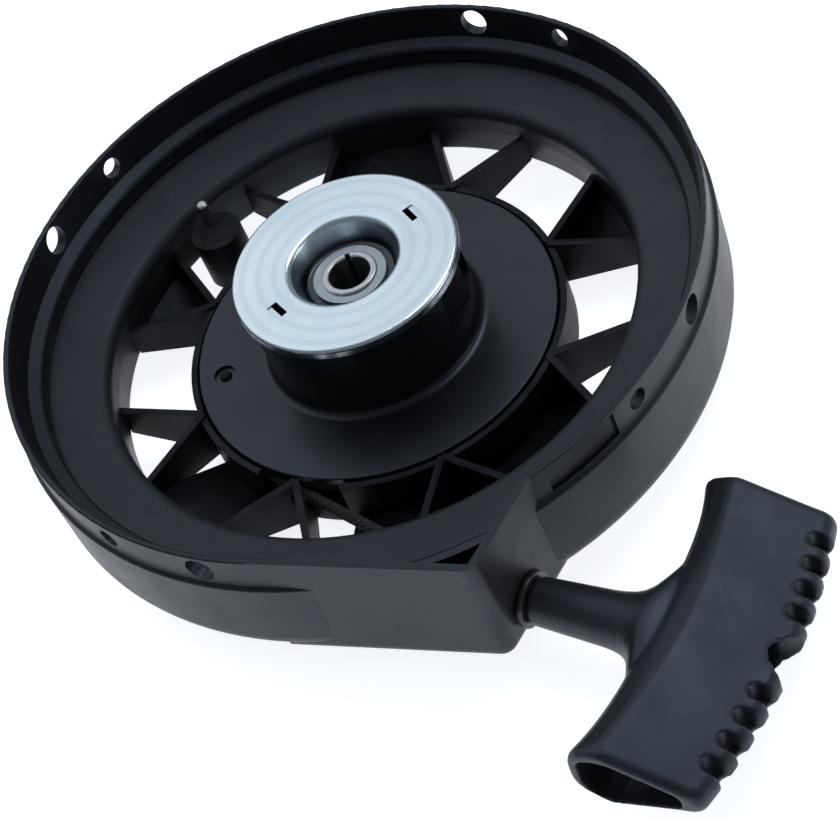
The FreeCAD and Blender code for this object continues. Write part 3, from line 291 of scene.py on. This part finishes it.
def zinc(name, base, pale, rough, ring_pitch, dish_shade_tone):
    """Clear zinc plate on pressed steel, with faint turning rings and smears.

    It is darker below the retainer's face: painted shade inside the dish. The broad arcs round
    the axis in its colour are a painted reflection.
    """
    s = Shader(name)
    radius, level = s.radius_and_level()
    colour = s.ramp(s.noise(SMEAR_SCALE, detail=5, rough=0.6), 0.3, 0.72, base, pale)
    spangle = s.between(s.noise(SPANGLE_SCALE, detail=3, rough=0.6), 0.55, 0.8, 0.0, 0.25)
    plate = s.mixed(spangle, colour, shade(base, 0.8))
    # Broad darker arcs round the axis: a painted reflection of the surroundings in the pressed
    # steel.
    reflection_arcs = s.between(s.waves(radius, REFLECTION_ARC_PITCH), -0.2, 1.0, 0.0, 0.30)
    reflection_banded = s.mixed(reflection_arcs, plate, shade(base, 0.78))
    # Darker below the retainer's face: painted shade inside the dish.
    depth = s.between(level, retainer_top - DISH_SHADE_FULL, retainer_top - DISH_SHADE_STARTS, 1.0, 0.0)
    s.put("Base Color", s.mixed(depth, reflection_banded, shade(base, dish_shade_tone)))
    s.put("Metallic", 1.0)
    tarnish = s.noise(TARNISH_SCALE, detail=5, rough=0.65)
    s.put("Roughness", s.between(tarnish, 0.3, 0.7, rough - 0.05, rough + 0.10))
    s.bump(s.waves(radius, ring_pitch), ZINC_RING_DEPTH)
    s.bump(s.noise(PEEL_SCALE, detail=3, rough=0.6), PEEL_DEPTH)
    return s


def steel(name, base, rough):
    """Rolled bright steel with fine marks along its height."""
    s = Shader(name)
    marks = s.noise(MARK_SCALE, detail=4, rough=0.6, stretch=MARK_STRETCH)
    s.put("Base Color", s.ramp(marks, 0.3, 0.75, shade(base, 0.72), base))
    s.put("Metallic", 1.0)
    s.put("Roughness", s.between(marks, 0.3, 0.7, rough - 0.06, rough + 0.12))
    s.bump(marks, MARK_DEPTH)
    return s


retainer_zinc = zinc("retainer_zinc", (0.53, 0.63, 0.71), (0.68, 0.77, 0.83), 0.24,
                     ring_pitch=0.8 * MM, dish_shade_tone=0.10)
washer_zinc = zinc("washer_zinc", (0.36, 0.40, 0.43), (0.56, 0.60, 0.63), 0.26,
                   ring_pitch=0.5 * MM, dish_shade_tone=0.8)
pin_steel = steel("pin_steel", (0.52, 0.53, 0.54), 0.30)
spring_steel = steel("spring_steel", (0.22, 0.22, 0.23), 0.34)

# ---------------------------------------------------------------- rope
STRAND_LENGTH = 2.6 * MM
STRAND_WIDTH = 1.6 * MM
STRAND_HEIGHT = 0.35 * MM
FUZZ_SCALE = 4000
FUZZ_HEIGHT = 0.04 * MM
# Braid colours: painted shade in the grooves between strands, painted highlight on the strand
# crests.
ROPE_GROOVE_SHADE = (0.004, 0.004, 0.0045)
ROPE_CREST_LIGHT = (0.022, 0.022, 0.024)


def braid(name, cord_direction):
    """Braided cord: two families of strands that cross over the cord's axis."""
    s = Shader(name)
    lengthwise = Vector(cord_direction).normalized()
    crosswise = lengthwise.cross(Vector((0, 0, 1))).normalized()
    run = s.maths("MULTIPLY", s.along(lengthwise), 2 * math.pi / STRAND_LENGTH)
    turn = s.maths("MULTIPLY", s.along(crosswise), 2 * math.pi / STRAND_WIDTH)
    strands = [s.maths("SINE", s.maths(way, run, turn)) for way in ("ADD", "SUBTRACT")]
    weave = s.between(s.maths("MAXIMUM", *strands), -0.6, 1.0, 0.0, 1.0)
    fuzz = s.noise(FUZZ_SCALE, detail=3, rough=0.7)
    # Colour: painted shade between the strands and a painted highlight on their crests, varied
    # by the fibre fuzz.
    lit = s.maths("MULTIPLY", weave, s.between(fuzz, 0.3, 0.7, 0.6, 1.0))
    s.put("Base Color", s.mixed(lit, ROPE_GROOVE_SHADE, ROPE_CREST_LIGHT))
    s.put("Roughness", s.between(fuzz, 0.3, 0.7, 0.7, 0.9))
    s.bump(weave, STRAND_HEIGHT)
    s.bump(fuzz, FUZZ_HEIGHT)
    return s


pull_axis = Vector(joints["handle_pull"]["axis"])
lead_low, lead_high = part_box("rope_lead")
lead_run = Vector((lead_high.x - lead_low.x, lead_high.y - lead_low.y, 0))
rope_tail = braid("rope_tail_braid", pull_axis)
rope_lead = braid("rope_lead_braid", lead_run)

FINISHES = {
    "housing_shell": housing,
    "inner_ring": ring,
    "housing_spokes": grille_shaded,
    "housing_well": grille_shaded,
    "center_pin": pin_steel,
    "boss_pin": pin_steel,
    "upper_washer": washer_zinc,
    "lower_washer": washer_zinc,
    "brake_spring": spring_steel,
    "rope_eyelet": eyelet,
    "rope_lead": rope_lead,
    "rope_pulley": pulley,
    "spring_cover": washer_zinc,
    "rewind_spring": spring_steel,
    "rope_winding": rope_lead,
    "rope_anchor_end": rope_tail,
    "dog_spring_a": spring_steel,
    "dog_spring_b": spring_steel,
    "starter_dog_a": dog,
    "starter_dog_b": dog,
    "dog_retainer": retainer_zinc,
    "rope_tail": rope_tail,
    "rope_knot": rope_tail,
    "rope_cup": washer_zinc,
    "pull_handle": grip,
}
for name, finish in FINISHES.items():
    slots = nodes[name].data.materials
    slots.clear()
    slots.append(finish.material)


# ---------------------------------------------------------------- pull handle
# Local frame, in mm: X along the rope away from the nose, Y along the bar, Z through the bar.
swivel = joints["handle_swivel"]
rope_out = Vector(swivel["axis"]).normalized()
SWIVEL_AT = 40.0
GRIP_TILT = math.radians(-3)
level_across = Vector((0, 0, 1)).cross(rope_out)
upright = rope_out.cross(level_across)
grip_across = level_across * math.cos(GRIP_TILT) + upright * math.sin(GRIP_TILT)
grip_up = rope_out.cross(grip_across)
grip_turn = Matrix((rope_out, grip_across, grip_up)).transposed().to_4x4()
grip_origin = Vector(swivel["pos_m"]) - rope_out * SWIVEL_AT * MM
grip_place = Matrix.Translation(grip_origin) @ grip_turn

BAR_HALF = 48.2
BAR_STEPS = 32
NEAR_EDGE = 34.0
NEAR_HOLLOW = 5.8
CREST_EDGE = 45.5
CREST_HOLLOW = 6.0
CREST_HEIGHT = 11.6
SHOULDER_SHARE = 0.8
SHOULDER_HEIGHT = 11.15
CREST_RUN = 2.0
CREST_DROP = 0.45
PALM_EDGE = 79.0
PALM_BOW = 5.9
# half thickness at steps in from the near edge, and at steps back from the palm edge
NEAR_PROFILE = ((0.0, 2.4), (0.2, 4.6), (1.1, 6.9), (3.1, 8.9), (6.2, 10.3))
PALM_PROFILE = ((5.5, 5.1), (2.4, 4.3), (0.8, 3.1), (0.0, 1.2))
# distance in from the bar's end, and how far the section draws in there
END_ROUNDING = ((0.0, 1.7), (0.35, 1.0), (1.0, 0.4), (1.9, 0.08), (2.8, 0.0))

STEM_STEPS = 40
STEM = (
    # along the rope, half width along the bar, half thickness
    (2.7, 6.4, 6.4), (3.3, 7.0, 7.0), (14.0, 7.5, 7.5), (25.0, 8.0, 8.0), (28.5, 8.4, 8.3),
    (31.5, 9.2, 8.6), (34.0, 10.7, 9.0), (36.2, 13.4, 9.5), (38.0, 17.2, 10.0),
    (40.0, 23.0, 10.0), (43.0, 32.0, 9.4),
)

# the bar's hollow, in section, and how far it runs in from one end
HOLLOW = (
    (37.6, -4.2), (37.6, 3.6), (39.4, 6.0), (43.0, 7.4), (47.5, 7.9), (57.0, 5.2),
    (66.0, 2.3), (67.2, 0.6), (67.0, -2.6), (65.6, -4.0), (57.0, -6.8), (47.5, -9.6),
    (42.0, -8.8), (39.0, -6.6),
)
HOLLOW_LENGTH = 26.0

TOOL_STEPS = 32
OVERRUN = 4.0
ROPE_BORE = (
    # along the rope, radius both ways
    (0.0, 2.1, 2.1), (70.0, 2.1, 2.1),
)
KNOT_WELL = (
    # the knot's room, its narrower mouth, and a flare through the palm edge
    (59.6, 5.6, 5.6), (67.0, 5.6, 5.6), (68.0, 4.9, 4.9), (72.6, 4.9, 4.9), (84.0, 9.5, 9.5),
)

# finger notches in the palm edge: each has a shallower slot right through the bar
NOTCHES_PER_SIDE = 4
NOTCH_PITCH = 8.05
NOTCH_WIDTH = 4.6
FIRST_NOTCH = 13.2
NOTCH_DEPTH = 6.2
NOTCH_FLOOR = -2.4
THROUGH_DEPTH = 2.9
THROUGH_TOP = 5
CLEAR_OF_BAR = 14
NOTCH_END_STEPS = 10

VOXEL = 0.5 * MM
SMOOTHING_PASSES = 4


def closed_loft(name, rings):
    """A closed mesh over a run of rings with equal point counts."""
    count = len(rings[0])
    points = [p for ring_points in rings for p in ring_points]
    faces = []
    for i in range(len(rings) - 1):
        for j in range(count):
            k = (j + 1) % count
            this_ring = i * count
            next_ring = this_ring + count
            faces.append((this_ring + j, this_ring + k, next_ring + k, next_ring + j))
    faces.append(tuple(reversed(range(count))))
    faces.append(tuple(range((len(rings) - 1) * count, len(rings) * count)))
    mesh = bpy.data.meshes.new(name)
    mesh.from_pydata([tuple(c * MM for c in p) for p in points], [], faces)
    made = bpy.data.objects.new(name, mesh)
    bpy.context.scene.collection.objects.link(made)
    return made


def bar_section(y, shrink=0.0):
    """A wedge at one place on the bar: blunt near edge, crest, then a taper to the palm edge."""
    share = (y / BAR_HALF) ** 2
    near = NEAR_EDGE + NEAR_HOLLOW * (1 - share ** 1.7) + shrink
    crest = CREST_EDGE + CREST_HOLLOW * (1 - share) ** 1.5
    palm = PALM_EDGE - PALM_BOW * share - shrink
    upper = [(near + step, height) for step, height in NEAR_PROFILE]
    upper.append((near + SHOULDER_SHARE * (crest - near), SHOULDER_HEIGHT))
    upper.append((crest, CREST_HEIGHT))
    upper.append((crest + CREST_RUN, CREST_HEIGHT - CREST_DROP))
    upper += [(palm - step, height) for step, height in PALM_PROFILE]
    upper = [(x, z - shrink if z > shrink else z) for x, z in upper]
    lower = [(x, -z) for x, z in reversed(upper)]
    return [(x, y, z) for x, z in upper + lower]


def bar(name):
    """The T bar, with its two ends rounded over."""
    rings = [bar_section(-BAR_HALF + inset, shrink) for inset, shrink in END_ROUNDING]
    span = BAR_HALF - END_ROUNDING[-1][0]
    rings += [bar_section(-span + 2 * span * i / BAR_STEPS) for i in range(1, BAR_STEPS)]
    rings += [bar_section(BAR_HALF - inset, shrink) for inset, shrink in reversed(END_ROUNDING)]
    return closed_loft(name, rings)


def along_rope(name, stations, steps):
    """A round or oval solid through (place, half width, half thickness) stations."""
    turns = [2 * math.pi * i / steps for i in range(steps)]
    rings = [[(x, wide * math.cos(turn), thick * math.sin(turn)) for turn in turns]
             for x, wide, thick in stations]
    return closed_loft(name, rings)


def hollow(name, start, end):
    """The tool for the bar's hollow."""
    return closed_loft(name, [[(x, y, z) for x, z in HOLLOW] for y in (start, end)])


def notch(name, reach, middle, low, high):
    """The tool for a finger notch: its inner end is round in plan."""
    half = NOTCH_WIDTH / 2
    outside = PALM_EDGE + OVERRUN
    plan = [(outside, middle - half)]
    for i in range(NOTCH_END_STEPS + 1):
        turn = math.pi * (i - NOTCH_END_STEPS // 2) / NOTCH_END_STEPS
        plan.append((reach + half - half * math.cos(turn), middle + half * math.sin(turn)))
    plan.append((outside, middle + half))
    return closed_loft(name, [[(x, y, z) for x, y in plan] for z in (low, high)])


def face_outwards(piece):
    """Turn every face of a closed piece to the outside."""
    mesh = bmesh.new()
    mesh.from_mesh(piece.data)
    bmesh.ops.recalc_face_normals(mesh, faces=mesh.faces)
    mesh.to_mesh(piece.data)
    mesh.free()


def carved(name, solids, tools):
    """The union of the solids less the tools, with its edges softened as a mould leaves them."""
    for piece in solids + tools:
        face_outwards(piece)
    piece = solids[0]
    piece.name = name
    for kind, others in (("UNION", solids[1:]), ("DIFFERENCE", tools)):
        for other in others:
            step = piece.modifiers.new(kind, "BOOLEAN")
            step.operation = kind
            step.solver = "EXACT"
            step.object = other
    remesh = piece.modifiers.new("remesh", "REMESH")
    remesh.mode = "VOXEL"
    remesh.voxel_size = VOXEL
    smooth = piece.modifiers.new("smooth", "SMOOTH")
    smooth.factor = 0.5
    smooth.iterations = SMOOTHING_PASSES
    bpy.context.view_layer.update()
    depsgraph = bpy.context.evaluated_depsgraph_get()
    mesh = bpy.data.meshes.new_from_object(piece.evaluated_get(depsgraph))
    piece.modifiers.clear()
    piece.data = mesh
    mesh.polygons.foreach_set("use_smooth", [True] * len(mesh.polygons))
    for other in solids[1:] + tools:
        bpy.data.objects.remove(other)
    return piece


def make_handle():
    """The moulded pull handle, in place of the plainer CAD one."""
    solids = [bar("grip_bar"), along_rope("grip_stem", STEM, STEM_STEPS)]
    tools = [along_rope("grip_well", KNOT_WELL, TOOL_STEPS),
             along_rope("grip_bore", ROPE_BORE, TOOL_STEPS),
             hollow("grip_hollow", -BAR_HALF - OVERRUN, -BAR_HALF + HOLLOW_LENGTH)]
    for side in (-1, 1):
        for i in range(NOTCHES_PER_SIDE):
            middle = side * (FIRST_NOTCH + NOTCH_PITCH * i)
            edge = PALM_EDGE - PALM_BOW * (middle / BAR_HALF) ** 2
            tools.append(notch(f"notch_{side}_{i}", edge - NOTCH_DEPTH, middle,
                               NOTCH_FLOOR, CLEAR_OF_BAR))
            tools.append(notch(f"through_{side}_{i}", edge - THROUGH_DEPTH, middle,
                               -CLEAR_OF_BAR, THROUGH_TOP))
    made = carved("pull_handle_moulded", solids, tools)
    made.data.transform(grip_place)
    made.data.materials.clear()
    made.data.materials.append(grip.material)
    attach(made, "handle")
    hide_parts("pull_handle")


make_handle()

# ---------------------------------------------------------------- floor
FLOOR_SIZE = 16.0
FLOOR_GAP = 0.2 * MM
floor_mesh = bpy.data.meshes.new("floor")
half = FLOOR_SIZE / 2
floor_mesh.from_pydata([(-half, -half, 0), (half, -half, 0), (half, half, 0), (-half, half, 0)],
                       [], [(0, 1, 2, 3)])
floor = bpy.data.objects.new("floor", floor_mesh)
floor.location.z = cad_box[0].z - FLOOR_GAP
bpy.context.scene.collection.objects.link(floor)
floor_shader = Shader("floor_white")
floor_shader.put("Base Color", (0.72, 0.72, 0.72, 1))
floor_shader.put("Roughness", 0.9)
floor_shader.put("Emission Color", (0.97, 0.99, 1.03, 1))
floor_shader.put("Emission Strength", 0.86)
floor.data.materials.append(floor_shader.material)

# ---------------------------------------------------------------- light
# One broad pale panel high behind the object fades into a dimmer room around it.
PANEL_AT = Vector((-0.62, -0.28, 0.73))
PANEL_FADES_AT = 0.68
PANEL_LIGHT = 1.15
ROOM_LIGHT = 0.22
world = bpy.data.worlds.new("studio")
bpy.context.scene.world = world
world.use_nodes = True
background = world.node_tree.nodes["Background"]
background.inputs["Color"].default_value = (0.90, 0.95, 1.0, 1)
heading = world.node_tree.nodes.new("ShaderNodeTexCoord")
towards_panel = world.node_tree.nodes.new("ShaderNodeVectorMath")
towards_panel.operation = "DOT_PRODUCT"
towards_panel.inputs[1].default_value = PANEL_AT.normalized()
world.node_tree.links.new(heading.outputs["Generated"], towards_panel.inputs[0])
panel_share = world.node_tree.nodes.new("ShaderNodeMapRange")
panel_share.interpolation_type = "SMOOTHSTEP"
panel_share.inputs["From Min"].default_value = PANEL_FADES_AT
panel_share.inputs["From Max"].default_value = 1.0
panel_share.inputs["To Min"].default_value = ROOM_LIGHT
panel_share.inputs["To Max"].default_value = PANEL_LIGHT
world.node_tree.links.new(towards_panel.outputs["Value"], panel_share.inputs["Value"])
world.node_tree.links.new(panel_share.outputs["Result"], background.inputs["Strength"])


def softbox(name, at, target, width, height, watts, colour):
    """A rectangular lamp that faces its target."""
    light = bpy.data.lights.new(name, "AREA")
    light.shape = "RECTANGLE"
    light.size = width
    light.size_y = height
    light.energy = watts
    light.color = colour
    lamp = bpy.data.objects.new(name, light)
    lamp.location = at
    lamp.rotation_mode = "QUATERNION"
    lamp.rotation_quaternion = (Vector(target) - Vector(at)).to_track_quat("-Z", "Y")
    bpy.context.scene.collection.objects.link(lamp)


softbox("key", at=(-0.25, 0.55, 1.05), target=(0, 0, 0), width=0.6, height=0.6,
        watts=4, colour=(0.93, 0.96, 1.0))
softbox("side", at=(0.45, 1.0, 0.35), target=(0.05, 0, 0.03), width=0.5, height=0.6,
        watts=1.6, colour=(0.90, 0.95, 1.0))

# ---------------------------------------------------------------- camera
CAMERA_AT = Vector((0.52705, -0.01461, 0.55066))
CAMERA_RIGHT = Vector((0.3406, 0.8953, -0.2872))
CAMERA_UP = Vector((-0.6528, 0.4450, 0.6130))
LENS = 102.86
SENSOR_WIDTH = 36

camera_back = CAMERA_RIGHT.cross(CAMERA_UP).normalized()
camera_up = camera_back.cross(CAMERA_RIGHT).normalized()
camera_turn = Matrix((CAMERA_RIGHT.normalized(), camera_up, camera_back)).transposed()
camera = bpy.data.objects.new("camera", bpy.data.cameras.new("camera"))
camera.data.lens = LENS
camera.data.sensor_width = SENSOR_WIDTH
camera.matrix_world = Matrix.Translation(CAMERA_AT) @ camera_turn.to_4x4()
bpy.context.scene.collection.objects.link(camera)
bpy.context.scene.camera = camera
bpy.context.scene.view_settings.view_transform = "Standard"
